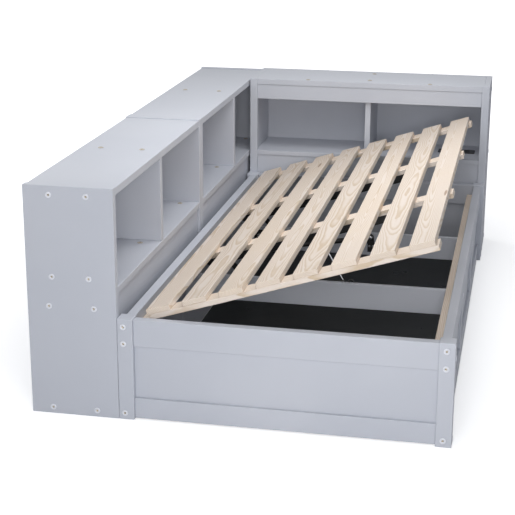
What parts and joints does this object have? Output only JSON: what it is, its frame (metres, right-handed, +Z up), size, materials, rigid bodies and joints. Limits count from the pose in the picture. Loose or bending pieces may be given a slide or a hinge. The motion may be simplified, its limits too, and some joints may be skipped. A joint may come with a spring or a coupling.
{
  "type": "storage daybed",
  "caption": "Daybed with open bookcases along one side and the head end, and a slatted base hinged along the bookcase side that lifts off a storage box.",
  "frame": {"origin": "bottom centre of the whole object's box, on the floor", "axes": "+X to the right seen from the foot end, away from the side bookcases; +Y from the foot end to the head end; +Z up"},
  "size_m": [1.3424, 2.3086, 0.7615],
  "materials": {
    "painted_panel": "pale blue-grey satin paint",
    "pine": "clear pine, sawn faces",
    "black_panel": "black, soft sheen",
    "black_steel": "black paint",
    "bright_steel": "bright",
    "cap_plastic": "satin",
    "socket_plastic": "satin"
  },
  "bodies": {
    "bed_and_bookcases": {"beam_brackets": "black_steel", "far_beam": "painted_panel", "floor_panels": "black_panel", "foot_bottom_rail": "painted_panel", "foot_case_back": "painted_panel", "foot_case_fascia": "painted_panel", "foot_case_foot_panel": "painted_panel", "foot_case_head_panel": "painted_panel", "foot_case_partition": "painted_panel", "foot_case_shelf": "painted_panel", "foot_case_top": "painted_panel", "foot_panel": "painted_panel", "foot_top_rail": "painted_panel", "front_caps": "cap_plastic", "head_back": "painted_panel", "head_corner_case_back": "painted_panel", "head_corner_case_fascia": "painted_panel", "head_corner_case_foot_panel": "painted_panel", "head_corner_case_head_panel": "painted_panel", "head_corner_case_partition": "painted_panel", "head_corner_case_shelf": "painted_panel", "head_corner_case_top": "painted_panel", "head_left_side": "painted_panel", "head_lower_panel": "painted_panel", "head_partition": "painted_panel", "head_posts": "painted_panel", "head_right_side": "painted_panel", "head_shelf": "painted_panel", "head_top": "painted_panel", "head_top_rail": "painted_panel", "inner_head_panel": "painted_panel", "inner_head_rail": "painted_panel", "ledgers": "pine", "left_panels": "painted_panel", "left_top_rail": "painted_panel", "near_beam": "painted_panel", "pins_and_bolts": "bright_steel", "power_socket": "socket_plastic", "right_bottom_rail": "painted_panel", "right_panels": "painted_panel", "right_stiles": "painted_panel", "right_top_rail": "painted_panel", "short_posts": "painted_panel", "side_caps": "cap_plastic", "top_caps": "cap_plastic"},
    "slat_base": {"slats": "pine", "crossbars": "pine", "near_lift_arm": "black_steel", "far_lift_arm": "black_steel", "stay_bracket": "black_steel"},
    "near_crank": {"near_crank": "black_steel"},
    "far_crank": {"far_crank": "black_steel"},
    "near_link": {"near_link": "black_steel"},
    "far_link": {"far_link": "black_steel"},
    "near_strut_tube": {"near_strut_tube": "black_steel"},
    "far_strut_tube": {"far_strut_tube": "black_steel"},
    "near_strut_rod": {"near_strut_rod": "bright_steel"},
    "far_strut_rod": {"far_strut_rod": "bright_steel"},
    "stay": {"stay_rod": "bright_steel"}
  },
  "joints": [
    {"name": "near_crank_turn", "type": "hinge", "parent": "bed_and_bookcases", "child": "near_crank", "pos_m": [-0.1947, -0.45765, 0.24581], "axis": [0, 1, 0], "range_deg": [-35.76, 25.1]},
    {"name": "far_crank_turn", "type": "hinge", "parent": "bed_and_bookcases", "child": "far_crank", "pos_m": [-0.1947, 0.15715, 0.24581], "axis": [0, 1, 0], "range_deg": [-35.76, 25.1]},
    {"name": "slat_base_lift", "type": "hinge", "parent": "near_crank", "child": "slat_base", "pos_m": [-0.23202, -0.44825, 0.32082], "axis": [0, -1, 0], "range_deg": [-53.49, 37.5]},
    {"name": "near_link_turn", "type": "hinge", "parent": "bed_and_bookcases", "child": "near_link", "pos_m": [-0.11125, -0.45255, 0.255], "axis": [0, 1, 0], "range_deg": [-30.6, 21.5]},
    {"name": "far_link_turn", "type": "hinge", "parent": "bed_and_bookcases", "child": "far_link", "pos_m": [-0.11125, 0.15205, 0.255], "axis": [0, 1, 0], "range_deg": [-30.6, 21.5]},
    {"name": "near_tube_turn", "type": "hinge", "parent": "bed_and_bookcases", "child": "near_strut_tube", "pos_m": [0.25775, -0.43375, 0.271], "axis": [0, 1, 0], "range_deg": [-2.3, 1.7]},
    {"name": "far_tube_turn", "type": "hinge", "parent": "bed_and_bookcases", "child": "far_strut_tube", "pos_m": [0.25775, 0.13325, 0.271], "axis": [0, 1, 0], "range_deg": [-2.3, 1.7]},
    {"name": "near_rod_slide", "type": "slide", "parent": "near_strut_tube", "child": "near_strut_rod", "axis": [-0.9864, 0, -0.1643], "range_m": [-0.0317, 0.0223]},
    {"name": "far_rod_slide", "type": "slide", "parent": "far_strut_tube", "child": "far_strut_rod", "axis": [-0.9864, 0, -0.1643], "range_m": [-0.0317, 0.0223]},
    {"name": "stay_fold", "type": "hinge", "parent": "slat_base", "child": "stay", "pos_m": [0.1301, -0.41275, 0.44255], "axis": [0, -1, 0], "range_deg": [-54.2, 77.3]}
  ],
  "couplings": [
    {"joint": "near_crank_turn", "follows": "slat_base_lift", "ratio": 0.66667},
    {"joint": "far_crank_turn", "follows": "slat_base_lift", "ratio": 0.66667},
    {"joint": "near_link_turn", "follows": "slat_base_lift", "ratio": 0.56867},
    {"joint": "far_link_turn", "follows": "slat_base_lift", "ratio": 0.56867},
    {"joint": "near_tube_turn", "follows": "slat_base_lift", "ratio": 0.039667},
    {"joint": "far_tube_turn", "follows": "slat_base_lift", "ratio": 0.039667},
    {"joint": "near_rod_slide", "follows": "slat_base_lift", "m_per_rad": 0.033667},
    {"joint": "far_rod_slide", "follows": "slat_base_lift", "m_per_rad": 0.033667},
    {"joint": "stay_fold", "follows": "slat_base_lift", "ratio": -1.44}
  ]
}
